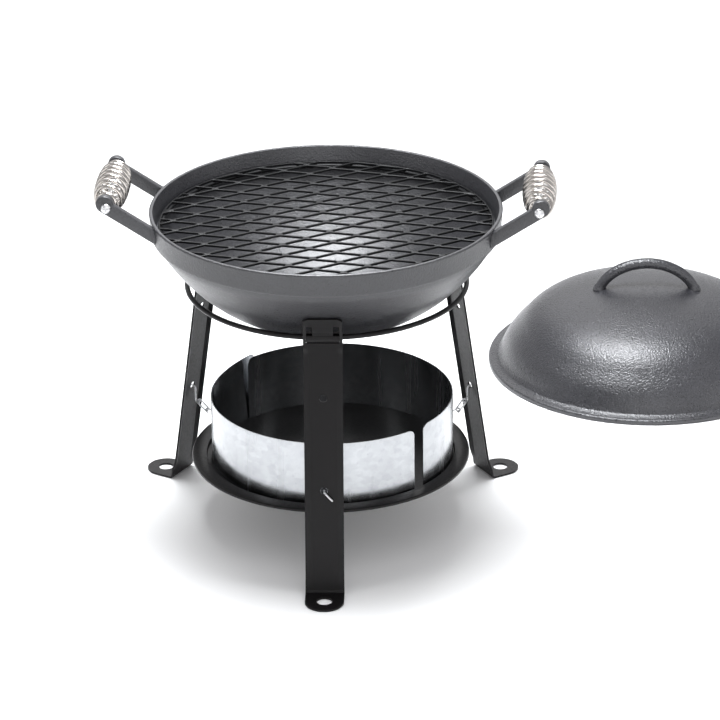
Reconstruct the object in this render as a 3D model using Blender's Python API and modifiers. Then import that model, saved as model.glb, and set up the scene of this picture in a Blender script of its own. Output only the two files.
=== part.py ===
"""Portable tabletop charcoal grill on three folding legs, with its domed lid set down beside it.

Metres, +Z up. The ground is z = 0 and the origin is the middle of the whole set's footprint.
"""

import math

import bmesh
import bpy
from mathutils import Matrix, Vector

# Places on the ground, measured from the grill's own vertical axis
LID_X = 0.3565
LID_Y = 0.398

# Fineness of round bodies, welding distance and the clearance between touching pieces
TURNED_STEPS = 48
TRAY_STEPS = 50
GRATE_STEPS = 64
GUARD_STEPS = 34
MERGE = 0.00001
RUNNING_GAP = 0.0003

# Bowl: a cast spherical dish with a straight rim band and an inner seat for the grate, set down a
# little turned, in degrees about its axis
RIM_R = 0.183
RIM_TOP = 0.350
RIM_LIP = 0.004
BAND_R = 0.181
BAND_BOTTOM = 0.326
BOWL_CENTRE_Z = 0.4228
BOWL_OUTER_R = 0.2035
BOWL_WALL = 0.0045
BOWL_FOOT_R = 0.045
SEAT_OUTER_R = 0.1765
SEAT_INNER_R = 0.1705
SEAT_Z = 0.3275
BOWL_TURN = -1.7

# Handle arms, cast with the bowl, and what is bolted between them
ARM_Y = 0.056
ARM_THICK = 0.008
ARM_SLOPE = math.radians(33.0)
ARM_DEPTH = 0.0134
ARM_EYE_R = 0.0090
ARM_EYE_OFFSET = (0.0018, 0.0036)
ARM_ROOT_X = (0.1712, 0.1685)
BOLT_X = 0.2207
BOLT_Z = 0.370
BOLT_D = 0.006
BOLT_HOLE_D = 0.0066
BOLT_HEAD_D = 0.0104
BOLT_HEAD_H = 0.0034
BOLT_TAIL = 0.0067
RECESS_LONG = 0.0058
RECESS_WIDE = 0.0012
RECESS_DEEP = 0.0012
NUT_FLATS = 0.010
NUT_H = 0.005
GRIP_WIRE_R = 0.0022
GRIP_MAX_R = 0.018
GRIP_END_R = 0.0076
GRIP_HALF = 0.0492
GRIP_TURNS = 8

# Grate: an expanded-metal disc over a wire frame ring
MESH_R = 0.1737
MESH_BOTTOM = 0.3321
MESH_THICK = 0.0025
STRAND_W = 0.0023
DIAMOND_LONG = 0.0522
DIAMOND_SHORT = 0.0276
DIAMOND_TURN = math.radians(10.7)
EDGE_STRIP = 0.002
SMALLEST_OPENING = 1.2e-5
FRAME_R = 0.1715
FRAME_WIRE_R = 0.0020
FRAME_Z = 0.3298

# Stand: a wire ring that three sheet legs are rolled round
RING_R = 0.1457
RING_WIRE_R = 0.00275
RING_Z = 0.267
LEG_AZIMUTHS = {"front": -90.0, "right": 30.0, "left": 150.0}
LEG_SHEET = 0.002
LEG_HALF = 0.020
LEG_TILT = 0.1577
LEG_MID_X = 0.0033
FLANGE_START = 0.0135
FLANGE_BEND = math.radians(22.0)
WINDOW_HALF = 0.0168
NECK_HALF = 0.0105
KNUCKLE_HALF = 0.0160
KNUCKLE_R = 0.0050
NECK_FOOT = (0.0036, 0.0068)
KNUCKLE_TURN = (38, -250)
FOOT_TIP_X = 0.0860
FOOT_HOLE_D = 0.016
LEG_HOLE_D = 0.008
LEG_HOLES_Z = (0.109, 0.2055)
LEG_CROWN = (0.0118, 0.0251)
LEG_CROWN_HALF = 0.015
LEG_HEM = (0.0073, 0.0150)
LEG_COLLAR = 0.003
LEG_WINDOW_FOOT = -0.0064
LEG_BEND_R = 0.0035

# Ash tray hung on three short chains, and the wind guard standing on it
TRAY_X = 0.0015
TRAY_R = 0.1472
TRAY_RIM_Z = 0.0735
TRAY_FLOOR_Z = 0.0685
TRAY_SHEET = 0.0015
RECESS_R = 0.1315
TRAY_HOLE_R = 0.141
TRAY_HOLE_D = 0.006
CHAIN_WIRE_R = 0.0010
CHAIN_LOOP_R = 0.0028
LEG_LOOP_R = 0.1672
LEG_LOOP_Z = 0.0925
TRAY_LOOP_R = 0.1556
TRAY_LOOP_Z = 0.0822
LINK_LENGTH = 0.0155
LINK_HALF_W = 0.0035
GUARD_X = 0.0040
GUARD_R = 0.1286
GUARD_SHEET = 0.0008
GUARD_GAP = 0.0004
GUARD_BOTTOM = 0.0688
GUARD_TOP = 0.1401
GUARD_CORNER = 0.007
GUARD_FRONT_ARC = (-229.2, -47.2)
GUARD_REAR_ARC = (-40.8, 137.5)

# Lid: a cast dome with a shallow brim and an arched bar handle
LID_R = 0.183
LID_WALL = 0.0045
BRIM_INNER_R = 0.172
BRIM_INNER_Z = 0.0074
BRIM_EDGE_H = 0.0045
DOME = ((0.0, 0.0940), (0.030, 0.0926), (0.060, 0.0883), (0.090, 0.0806), (0.117, 0.0705),
        (0.135, 0.0585), (0.149, 0.0435), (0.159, 0.0315), (0.165, 0.0215), (0.1688, 0.0130))
HANDLE_HALF_SPAN = 0.0552
HANDLE_TOP_Z = 0.1275
HANDLE_BAR_R = 0.0062
HANDLE_FOOT_Z = 0.0870
HANDLE_ARCH = 1.25

FOOT_REACH = RING_R + FOOT_TIP_X
LEFT_EDGE = -(BOLT_X + GRIP_MAX_R)
RIGHT_EDGE = LID_X + LID_R
FRONT_EDGE = -FOOT_REACH
BACK_EDGE = LID_Y + LID_R
GRILL_X = -(LEFT_EDGE + RIGHT_EDGE) / 2
GRILL_Y = -(FRONT_EDGE + BACK_EDGE) / 2


def clear_scene():
    for obj in list(bpy.data.objects):
        bpy.data.objects.remove(obj, do_unlink=True)


def material(name, colour, roughness, metallic):
    made = bpy.data.materials.new(name)
    made.use_nodes = True
    shader = made.node_tree.nodes["Principled BSDF"]
    shader.inputs["Base Color"].default_value = (*colour, 1.0)
    shader.inputs["Roughness"].default_value = roughness
    shader.inputs["Metallic"].default_value = metallic
    return made


def collection(name, helper=False):
    made = bpy.data.collections.new(name)
    made.hide_render = helper
    bpy.context.scene.collection.children.link(made)
    return made


def place(name, data, finish, home, parent=None, at=(0, 0, 0), turn=(0, 0, 0)):
    """An object of this mesh or curve, its turn given in degrees about X, Y and Z."""
    obj = bpy.data.objects.new(name, data)
    home.objects.link(obj)
    obj.parent = parent
    obj.location = at
    obj.rotation_euler = [math.radians(angle) for angle in turn]
    if finish:
        data.materials.clear()
        data.materials.append(finish)
    return obj


def combine(obj, other, operation):
    """Adds or removes a helper body."""
    other.hide_render = True
    other.display_type = "WIRE"
    step = obj.modifiers.new(other.name, "BOOLEAN")
    step.object = other
    step.operation = operation
    step.solver = "EXACT"


def baked(obj):
    """The object's mesh with its modifiers applied and loose caps welded; the object itself is removed."""
    bpy.context.view_layer.update()
    graph = bpy.context.evaluated_depsgraph_get()
    mesh = bpy.data.meshes.new_from_object(obj.evaluated_get(graph))
    bpy.data.objects.remove(obj, do_unlink=True)
    shell = bmesh.new()
    shell.from_mesh(mesh)
    bmesh.ops.remove_doubles(shell, verts=shell.verts, dist=MERGE)
    bmesh.ops.recalc_face_normals(shell, faces=shell.faces)
    shell.to_mesh(mesh)
    shell.free()
    return mesh


def round_off(mesh, crease=30.0):
    """Smooth shading, except across edges sharper than the crease."""
    mesh.shade_smooth()
    mesh.set_sharp_from_angle(angle=math.radians(crease))
    return mesh


def profile_mesh(name, profile):
    """A half section of (radius, height) points, listed from the bottom of the axis round the outside."""
    mesh = bpy.data.meshes.new(name)
    points = [(radius, 0, height) for radius, height in reversed(profile)]
    mesh.from_pydata(points, [(k, k + 1) for k in range(len(points) - 1)], [])
    return mesh


def revolve(obj, steps):
    """Turns a half section round its Z axis into a closed body."""
    screw = obj.modifiers.new("revolve", "SCREW")
    screw.steps = steps
    screw.render_steps = steps
    screw.use_merge_vertices = True
    screw.merge_threshold = MERGE
    return obj


def wire(name, path, radius, rounding, closed=False):
    """A round bar along a path, with 4 + 2 * rounding sides."""
    curve = bpy.data.curves.new(name, "CURVE")
    curve.dimensions = "3D"
    curve.fill_mode = "FULL"
    curve.bevel_depth = radius
    curve.bevel_resolution = rounding
    curve.use_fill_caps = True
    spline = curve.splines.new("POLY")
    spline.points.add(len(path) - 1)
    for point, spot in zip(spline.points, path):
        point.co = (*spot, 1)
    spline.use_cyclic_u = closed
    return curve


def plate(name, outlines, thickness):
    """A flat sheet in the XY plane: the first outline is its edge and the others are openings in it."""
    curve = bpy.data.curves.new(name, "CURVE")
    curve.dimensions = "2D"
    curve.fill_mode = "BOTH"
    curve.extrude = thickness / 2
    for outline in outlines:
        spline = curve.splines.new("POLY")
        spline.points.add(len(outline) - 1)
        for point, (x, y) in zip(spline.points, outline):
            point.co = (x, y, 0, 1)
        spline.use_cyclic_u = True
    return curve


def cylinder(name, diameter, length, sides=20):
    """A round bar on the Z axis, centred on the origin."""
    mesh = bpy.data.meshes.new(name)
    shell = bmesh.new()
    bmesh.ops.create_cone(shell, cap_ends=True, segments=sides, radius1=diameter / 2, radius2=diameter / 2,
                          depth=length)
    shell.to_mesh(mesh)
    shell.free()
    return mesh


def block(name, size):
    """A box of this size, centred on the origin."""
    mesh = bpy.data.meshes.new(name)
    shell = bmesh.new()
    bmesh.ops.create_cube(shell, size=1)
    bmesh.ops.scale(shell, vec=size, verts=shell.verts)
    shell.to_mesh(mesh)
    shell.free()
    return mesh


def arc(centre, radius, start, end, count):
    """Points along a circle, angles in degrees."""
    found = []
    for k in range(count):
        angle = math.radians(start + (end - start) * k / (count - 1))
        found.append((centre[0] + radius * math.cos(angle), centre[1] + radius * math.sin(angle)))
    return found


def circle_path(radius, steps):
    turns = [2 * math.pi * k / steps for k in range(steps)]
    return [(radius * math.cos(a), radius * math.sin(a), 0) for a in turns]


def sphere_z(radius, r):
    return BOWL_CENTRE_Z - math.sqrt(radius * radius - r * r)


def bowl_profile():
    """Outer dish, rim band, lip, grate seat and inner dish."""
    inner_r = BOWL_OUTER_R - BOWL_WALL
    outside = [(0, sphere_z(BOWL_OUTER_R, BOWL_FOOT_R))]
    for r in (BOWL_FOOT_R, 0.066, 0.086, 0.105, 0.122, 0.137, 0.150, 0.161, 0.170, 0.176, 0.179):
        outside.append((r, sphere_z(BOWL_OUTER_R, r)))
    band = [(BAND_R, BAND_BOTTOM + 0.0002), (BAND_R + 0.0006, BAND_BOTTOM + 0.0015),
            (RIM_R, RIM_TOP - 0.0015), (RIM_R - 0.0008, RIM_TOP)]
    lip = [(RIM_R - RIM_LIP + 0.0006, RIM_TOP), (RIM_R - RIM_LIP, RIM_TOP - 0.0010),
           (SEAT_OUTER_R, SEAT_Z), (SEAT_INNER_R, SEAT_Z)]
    inside = []
    for r in (SEAT_INNER_R, 0.163, 0.153, 0.141, 0.127, 0.111, 0.092, 0.070, BOWL_FOOT_R):
        inside.append((r, sphere_z(inner_r, r)))
    inside.append((0, sphere_z(inner_r, BOWL_FOOT_R)))
    return outside + band + lip + inside


def arm_outline(side):
    """A sloping bar ending in a round eye, drawn for the right side and mirrored for the left."""
    eye = (BOLT_X + ARM_EYE_OFFSET[0], BOLT_Z + ARM_EYE_OFFSET[1])
    slope = math.degrees(ARM_SLOPE)
    shoulder = 180 - math.degrees(math.asin((ARM_DEPTH - ARM_EYE_R) / ARM_EYE_R))
    outline = arc(eye, ARM_EYE_R, slope - 90, slope + shoulder, 15)
    for corner, x in ((outline[-1], ARM_ROOT_X[0]), (outline[0], ARM_ROOT_X[1])):
        outline.append((x, corner[1] - (corner[0] - x) * math.tan(ARM_SLOPE)))
    return [(side * x, z) for x, z in outline]


def add_bowl(finish, parts, helpers, parent):
    """The dish with its four handle arms cast on and drilled for the bolts."""
    dish = profile_mesh("bowl", bowl_profile())
    bowl = place("bowl", dish, finish, parts, parent, (0, 0, 0), (0, 0, BOWL_TURN))
    revolve(bowl, TURNED_STEPS)
    for side, label in ((1, "right"), (-1, "left")):
        blank = baked(place("arm_blank", plate("arm", [arm_outline(side)], ARM_THICK), None, helpers))
        for y, end in ((-ARM_Y, "front"), (ARM_Y, "rear")):
            arm = place(f"arm_{label}_{end}", blank, None, helpers, bowl, (0, y, 0), (90, 0, 0))
            combine(bowl, arm, "UNION")
        drill = cylinder("bolt_hole", BOLT_HOLE_D, 2 * ARM_Y + 0.04)
        at = (side * BOLT_X, 0, BOLT_Z)
        combine(bowl, place(f"bolt_hole_{label}", drill, None, helpers, bowl, at, (90, 0, 0)), "DIFFERENCE")
    return bowl


def bolt_mesh(helpers):
    """A cross-recess pan-head screw on the Z axis, its head upward."""
    reach = ARM_Y + ARM_THICK / 2 + RUNNING_GAP
    shank = BOLT_D / 2
    head = BOLT_HEAD_D / 2
    top = reach + BOLT_HEAD_H
    profile = [(0, -reach - BOLT_TAIL), (shank - 0.0004, -reach - BOLT_TAIL),
               (shank, -reach - BOLT_TAIL + 0.0004), (shank, reach), (head, reach),
               (head, reach + 0.0012), (head * 0.82, reach + 0.0026), (head * 0.42, top), (0, top)]
    screw = revolve(place("screw", profile_mesh("handle_bolt", profile), None, helpers), 16)
    for size in ((RECESS_LONG, RECESS_WIDE, 2 * RECESS_DEEP), (RECESS_WIDE, RECESS_LONG, 2 * RECESS_DEEP)):
        recess = place("recess", block("recess", size), None, helpers, None, (0, 0, top))
        combine(screw, recess, "DIFFERENCE")
    return round_off(baked(screw))


def nut_mesh(helpers):
    """A hexagon nut on the Z axis, centred on the origin."""
    hexagon = cylinder("handle_nut", 2 * NUT_FLATS / math.sqrt(3), NUT_H, 6)
    nut = place("nut_blank", hexagon, None, helpers)
    bore = place("nut_bore", cylinder("nut_bore", BOLT_HOLE_D, 3 * NUT_H, 12), None, helpers)
    combine(nut, bore, "DIFFERENCE")
    return round_off(baked(nut))


def grip_path():
    """A barrel-shaped coil along Y."""
    path = []
    count = GRIP_TURNS * 12
    for k in range(count + 1):
        t = 2 * k / count - 1
        bulge = (1 - abs(t) ** 2.4) ** 0.62
        radius = GRIP_END_R + (GRIP_MAX_R - GRIP_WIRE_R - GRIP_END_R) * bulge
        angle = 2 * math.pi * GRIP_TURNS * k / count
        path.append((radius * math.cos(angle), GRIP_HALF * t, radius * math.sin(angle)))
    return path


def add_handles(bolt_finish, grip_finish, parts, helpers, bowl):
    """Through bolts, nuts and coil grips, one of each on either side."""
    bolt = bolt_mesh(helpers)
    nut = nut_mesh(helpers)
    grip = wire("grip", grip_path(), GRIP_WIRE_R, 1)
    nut_y = ARM_Y + ARM_THICK / 2 + RUNNING_GAP + NUT_H / 2
    for side, label in ((-1, "left"), (1, "right")):
        at = Vector((side * BOLT_X, 0, BOLT_Z))
        place(f"handle_bolt_{label}", bolt, bolt_finish, parts, bowl, at, (90, 0, 0))
        place(f"handle_nut_{label}", nut, bolt_finish, parts, bowl, at + Vector((0, nut_y, 0)), (90, 30, 0))
        place(f"grip_{label}", grip, grip_finish, parts, bowl, at)


def clipped(polygon, radius):
    """Cuts a convex polygon back to a disc, following the disc's edge in short straight steps."""
    sides = GRATE_STEPS
    for k in range(sides):
        angle = 2 * math.pi * (k + 0.5) / sides
        normal = (math.cos(angle), math.sin(angle))
        limit = radius * math.cos(math.pi / sides)
        kept = []
        for (ax, ay), (bx, by) in zip(polygon, polygon[1:] + polygon[:1]):
            da = ax * normal[0] + ay * normal[1] - limit
            db = bx * normal[0] + by * normal[1] - limit
            if da <= 0:
                kept.append((ax, ay))
            if da * db < 0:
                share = da / (da - db)
                kept.append((ax + share * (bx - ax), ay + share * (by - ay)))
        polygon = kept
        if len(polygon) < 3:
            return []
    return polygon


def polygon_area(polygon):
    total = 0.0
    for (ax, ay), (bx, by) in zip(polygon, polygon[1:] + polygon[:1]):
        total += ax * by - bx * ay
    return abs(total) / 2


def grate_openings():
    """Diamond openings of the expanded metal, clipped so that a thin edge is left round the disc."""
    half_angle = math.atan2(DIAMOND_SHORT, DIAMOND_LONG)
    long_half = DIAMOND_LONG / 2 - STRAND_W / 2 / math.sin(half_angle)
    short_half = DIAMOND_SHORT / 2 - STRAND_W / 2 / math.cos(half_angle)
    cos_turn = math.cos(DIAMOND_TURN)
    sin_turn = math.sin(DIAMOND_TURN)
    found = []
    for row in range(-14, 15):
        for column in range(-8, 9):
            x = (column + (row % 2) / 2 + 0.5) * DIAMOND_LONG
            y = row * DIAMOND_SHORT / 2
            corners = [(x + long_half, y), (x, y + short_half), (x - long_half, y), (x, y - short_half)]
            turned = [(a * cos_turn - b * sin_turn, a * sin_turn + b * cos_turn) for a, b in corners]
            opening = clipped(turned, MESH_R - EDGE_STRIP)
            if opening and polygon_area(opening) > SMALLEST_OPENING:
                found.append(opening)
    return found


def add_grate(finish, parts, helpers, bowl):
    """The frame ring standing on the bowl's seat and the expanded-metal disc on top of it."""
    ring = wire("grate_frame", circle_path(FRAME_R, TURNED_STEPS), FRAME_WIRE_R, 1, closed=True)
    place("grate_frame", ring, finish, parts, bowl, (0, 0, FRAME_Z))
    rim = [(x, y) for x, y, z in circle_path(MESH_R, GRATE_STEPS)]
    sheet = place("grate_sheet", plate("grate", [rim] + grate_openings(), MESH_THICK), None, helpers)
    mesh = round_off(baked(sheet))
    place("grate_mesh", mesh, finish, parts, bowl, (0, 0, MESH_BOTTOM + MESH_THICK / 2))


def leg_rows():
    """Mid-surface rows of a leg below its window: (x, z, how far the edges are folded, width share)."""
    ground = -RING_Z
    lean = math.atan(LEG_TILT)
    rows = []
    folds = ((LEG_WINDOW_FOOT, 0), (-0.0110, 0), (-0.0180, 1), (ground + 0.030, 1), (ground + 0.013, 0))
    for z, fold in folds:
        rows.append((LEG_MID_X - LEG_TILT * z, z, fold, 1))
    corner_x = LEG_MID_X + LEG_TILT * (RING_Z - LEG_SHEET / 2)
    corner_z = ground + LEG_SHEET / 2
    run = LEG_BEND_R * math.tan((math.pi / 2 - lean) / 2)
    centre = (corner_x + run, corner_z + LEG_BEND_R)
    for x, z in arc(centre, LEG_BEND_R, 180 + math.degrees(lean), 270, 3):
        rows.append((x, z, 0, 1))
    for angle in (0, 22, 42, 60, 76):
        reach = LEG_HALF * math.sin(math.radians(angle))
        rows.append((FOOT_TIP_X - LEG_HALF + reach, corner_z, 0, math.cos(math.radians(angle))))
    return rows


def leg_sheet():
    """The leg's mid-surface: head plate, two ears beside a window, rolled knuckle, channel and foot.

    The hinge axis is the local Y axis. The surface is a loft between rows of unlike width and fold.
    """
    shell = bmesh.new()
    columns = (-LEG_HALF, -WINDOW_HALF, -FLANGE_START, -NECK_HALF,
               NECK_HALF, FLANGE_START, WINDOW_HALF, LEG_HALF)
    lean = math.atan(LEG_TILT)

    def add_row(x, z, fold=0, share=1, widths=columns):
        row = []
        for y in widths:
            over = max(0.0, abs(y) - FLANGE_START) * fold
            side = math.copysign(abs(y) - over * (1 - math.cos(FLANGE_BEND)), y) * share
            inward = over * math.sin(FLANGE_BEND)
            row.append(shell.verts.new((x - inward * math.cos(lean), side, z - inward * math.sin(lean))))
        return row

    def join_rows(near, far, strips):
        for k in strips:
            shell.faces.new((near[k], near[k + 1], far[k + 1], far[k]))

    whole = range(len(columns) - 1)
    ears = (0, len(columns) - 2)
    step = LEG_COLLAR / math.dist(LEG_CROWN, LEG_HEM)
    limits = (1, 0.5, 0, 0, 0, 0, 0.5, 1)
    narrow = LEG_CROWN_HALF - FLANGE_START
    crown_widths = []
    for y, limit in zip(columns, limits):
        crown_widths.append(math.copysign(min(abs(y), FLANGE_START + narrow * limit), y))
    collar_x = LEG_CROWN[0] + (LEG_HEM[0] - LEG_CROWN[0]) * step
    collar_z = LEG_CROWN[1] + (LEG_HEM[1] - LEG_CROWN[1]) * step
    crown = add_row(*LEG_CROWN, widths=crown_widths)
    collar = add_row(collar_x, collar_z)
    hem = add_row(*LEG_HEM)
    join_rows(crown, collar, whole)
    join_rows(collar, hem, whole)
    previous = None
    for x, z, fold, share in leg_rows():
        row = add_row(x, z, fold, share)
        join_rows(previous or hem, row, whole if previous else ears)
        previous = row

    neck = add_row(*NECK_FOOT, widths=(-NECK_HALF, NECK_HALF))
    widths = (-KNUCKLE_HALF, -NECK_HALF, NECK_HALF, KNUCKLE_HALF)
    roll = [add_row(x, z, widths=widths) for x, z in arc((0, 0), KNUCKLE_R, *KNUCKLE_TURN, 14)]
    shell.faces.new((hem[3], hem[4], neck[1], neck[0]))
    shell.faces.new((neck[0], neck[1], roll[0][2], roll[0][1]))
    for near, far in zip(roll, roll[1:]):
        join_rows(near, far, range(3))
    bmesh.ops.recalc_face_normals(shell, faces=shell.faces)
    mesh = bpy.data.meshes.new("leg")
    shell.to_mesh(mesh)
    shell.free()
    return mesh


def leg_mesh(helpers):
    """The leg's sheet at its thickness, with its two chain holes and its foot hole."""
    sheet = place("leg_sheet", leg_sheet(), None, helpers)
    thicken = sheet.modifiers.new("sheet", "SOLIDIFY")
    thicken.thickness = LEG_SHEET
    thicken.offset = 0
    thicken.use_even_offset = True
    small = cylinder("leg_hole", LEG_HOLE_D, 0.02, 16)
    large = cylinder("foot_hole", FOOT_HOLE_D, 0.02, 24)
    for z in LEG_HOLES_Z:
        at = (LEG_MID_X + LEG_TILT * (RING_Z - z), 0, z - RING_Z)
        combine(sheet, place("leg_hole", small, None, helpers, None, at, (0, 90, 0)), "DIFFERENCE")
    at = (FOOT_TIP_X - LEG_HALF, 0, -RING_Z)
    combine(sheet, place("foot_hole", large, None, helpers, None, at), "DIFFERENCE")
    return round_off(baked(sheet), 35)


def leg_hook_path():
    """From a slanted tail outside the leg, through its lower hole, down to an open loop inside."""
    z = LEG_HOLES_Z[0] - RING_Z
    x = LEG_MID_X + LEG_TILT * (RING_Z - LEG_HOLES_Z[0])
    loop = (LEG_LOOP_R - RING_R, LEG_LOOP_Z - RING_Z)
    tail = [(x + 0.0058, 0.0082, z - 0.0088), (x + 0.0052, 0.0050, z - 0.0056),
            (x + 0.0040, 0.0018, z - 0.0022), (x + 0.0018, 0, z - 0.0006), (x - 0.0016, 0, z - 0.0008)]
    shank = [(loop[0] + CHAIN_LOOP_R + 0.0002, 0, z - 0.0030), (loop[0] + CHAIN_LOOP_R, 0, z - 0.0080)]
    turn = [(a, 0, b) for a, b in arc(loop, CHAIN_LOOP_R, 0, -200, 8)]
    return tail + shank + turn


def tray_hook_path():
    """From under the tray rim, up through its hole, out to an open loop."""
    hole = TRAY_HOLE_R
    under = [(hole + 0.0046, 0, 0.0683), (hole + 0.0028, 0, 0.0677), (hole + 0.0008, 0, 0.0688),
             (hole, 0, 0.0712), (hole, 0, 0.0742), (hole + 0.0022, 0, 0.0778), (hole + 0.0066, 0, 0.0818)]
    turn = [(a, 0, b) for a, b in arc((TRAY_LOOP_R, TRAY_LOOP_Z), CHAIN_LOOP_R, 125, -70, 8)]
    return under + turn


def link_path():
    """A stadium loop lying along local X, wide along local Y."""
    half = LINK_LENGTH / 2 - LINK_HALF_W
    right = arc((half, 0), LINK_HALF_W, -90, 90, 7)
    left = arc((-half, 0), LINK_HALF_W, 90, 270, 7)
    return [(a, b, 0) for a, b in right + left]


def add_stand(finish, bright, parts, helpers, parent):
    """Ring, legs and the hooks hanging in the legs."""
    ring = wire("stand_ring", circle_path(RING_R, 60), RING_WIRE_R, 1, closed=True)
    place("stand_ring", ring, finish, parts, parent, (0, 0, RING_Z))
    sheet = leg_mesh(helpers)
    hook = wire("leg_hook", leg_hook_path(), CHAIN_WIRE_R, 1)
    for label, azimuth in LEG_AZIMUTHS.items():
        angle = math.radians(azimuth)
        at = (RING_R * math.cos(angle), RING_R * math.sin(angle), RING_Z)
        leg = place(f"leg_{label}", sheet, finish, parts, parent, at, (0, 0, azimuth))
        place(f"leg_hook_{label}", hook, bright, parts, leg)


def tray_profile():
    """A pressed dish with a flat floor, a raised flange and a short turned-down edge."""
    edge = TRAY_R
    sheet = TRAY_SHEET
    drop = TRAY_RIM_Z - 2 * sheet
    return [(0, TRAY_FLOOR_Z - sheet), (RECESS_R + sheet, TRAY_FLOOR_Z - sheet),
            (RECESS_R + sheet, TRAY_RIM_Z - sheet), (edge - sheet, TRAY_RIM_Z - sheet),
            (edge - sheet, drop), (edge, drop), (edge, TRAY_RIM_Z - 0.0005), (edge - 0.0005, TRAY_RIM_Z),
            (RECESS_R, TRAY_RIM_Z), (RECESS_R, TRAY_FLOOR_Z), (0, TRAY_FLOOR_Z)]


def add_tray(finish, bright, parts, helpers, parent):
    """The pressed tray, its three hooks and the links that join them to the legs' hooks."""
    tray = place("ash_tray", profile_mesh("ash_tray", tray_profile()), finish, parts, parent, (TRAY_X, 0, 0))
    revolve(tray, TRAY_STEPS)
    hook = wire("tray_hook", tray_hook_path(), CHAIN_WIRE_R, 1)
    link = wire("chain_link", link_path(), CHAIN_WIRE_R, 1, closed=True)
    drill = cylinder("tray_hole", TRAY_HOLE_D, 0.02, 12)
    for label, azimuth in LEG_AZIMUTHS.items():
        out = Vector((math.cos(math.radians(azimuth)), math.sin(math.radians(azimuth)), 0))
        at = out * TRAY_HOLE_R + Vector((0, 0, TRAY_RIM_Z))
        combine(tray, place(f"tray_hole_{label}", drill, None, helpers, tray, at), "DIFFERENCE")
        place(f"tray_hook_{label}", hook, bright, parts, tray, (0, 0, 0), (0, 0, azimuth))
        upper = out * LEG_LOOP_R + Vector((-TRAY_X, 0, LEG_LOOP_Z))
        lower = out * TRAY_LOOP_R + Vector((0, 0, TRAY_LOOP_Z))
        along = (upper - lower).normalized()
        across = Vector((0, 0, 1)).cross(along).normalized()
        item = place(f"chain_link_{label}", link, bright, parts, tray, (upper + lower) / 2)
        item.rotation_euler = Matrix((along, across, along.cross(across))).transposed().to_euler()


def guard_height(run, length):
    """Top edge of the guard's flat blank at this distance along it, its two corners rounded off."""
    short = GUARD_CORNER - max(0.0, min(run, length - run))
    if short <= 0:
        return GUARD_TOP
    return GUARD_TOP - GUARD_CORNER + math.sqrt(GUARD_CORNER ** 2 - short ** 2)


def guard_sheet(name, radius, start, end):
    """A flat blank pulled up from its foot line, then rolled to this radius."""
    length = math.radians(end - start) * radius
    corner = [GUARD_CORNER * (1 - math.cos(math.radians(angle))) for angle in (0, 22, 45, 67, 90)]
    middle = [corner[-1] + (length - 2 * corner[-1]) * k / GUARD_STEPS for k in range(1, GUARD_STEPS)]
    runs = corner + middle + [length - run for run in reversed(corner)]
    shell = bmesh.new()
    foot = [shell.verts.new((run, 0, GUARD_BOTTOM)) for run in runs]
    line = [shell.edges.new(pair) for pair in zip(foot, foot[1:])]
    pulled = bmesh.ops.extrude_edge_only(shell, edges=line)["geom"]
    for vert in pulled:
        if isinstance(vert, bmesh.types.BMVert):
            vert.co.z = guard_height(vert.co.x, length)
    for vert in shell.verts:
        angle = math.radians(start) + vert.co.x / radius
        vert.co.x = radius * math.cos(angle)
        vert.co.y = radius * math.sin(angle)
    mesh = bpy.data.meshes.new(name)
    shell.to_mesh(mesh)
    shell.free()
    return mesh


def add_guard(finish, parts, parent):
    """Two half shells, the front one overlapping the outside of the rear one."""
    front_r = GUARD_R - GUARD_SHEET / 2
    rear_r = front_r - GUARD_SHEET - GUARD_GAP
    for name, radius, span in (("wind_guard_front", front_r, GUARD_FRONT_ARC),
                               ("wind_guard_rear", rear_r, GUARD_REAR_ARC)):
        guard = place(name, guard_sheet(name, radius, *span), finish, parts, parent, (GUARD_X, 0, 0))
        thicken = guard.modifiers.new("sheet", "SOLIDIFY")
        thicken.thickness = GUARD_SHEET
        thicken.offset = 0


def lid_profile():
    """The inside from the top to the brim's foot at the wall's thickness, then back up the outside."""
    brim = (BRIM_INNER_R, BRIM_INNER_Z)
    stations = [Vector(point) for point in DOME + (brim,)]
    inside = [(0, DOME[0][1] - LID_WALL)]
    for before, here, after in list(zip(stations, stations[1:], stations[2:]))[:-1]:
        run = after - before
        inside.append(tuple(here + Vector((run.y, -run.x)).normalized() * LID_WALL))
    foot = [(BRIM_INNER_R - 0.0050, 0.0040), (BRIM_INNER_R - 0.0040, 0), (LID_R - 0.0004, 0),
            (LID_R, BRIM_EDGE_H - 0.0006), (LID_R - 0.0016, BRIM_EDGE_H + 0.0008), brim]
    return inside + foot + list(reversed(DOME))


def handle_path():
    """The lid handle's arch, from inside the dome's wall on one side to the other."""
    rise = HANDLE_TOP_Z - HANDLE_BAR_R - HANDLE_FOOT_Z
    path = []
    for k in range(15):
        angle = math.pi * k / 14
        lift = math.sin(angle) ** HANDLE_ARCH if 0 < k < 14 else 0.0
        path.append((-HANDLE_HALF_SPAN * math.cos(angle), 0, HANDLE_FOOT_Z + rise * lift))
    return path


def add_lid(finish, parts, helpers):
    """The dome with its arched bar handle cast on."""
    at = (GRILL_X + LID_X, GRILL_Y + LID_Y, 0)
    lid = revolve(place("lid", profile_mesh("lid", lid_profile()), finish, parts, None, at), TURNED_STEPS)
    arch = baked(place("lid_arch", wire("lid_handle", handle_path(), HANDLE_BAR_R, 3), None, helpers))
    combine(lid, place("lid_handle", arch, None, helpers, None, at), "UNION")


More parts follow.
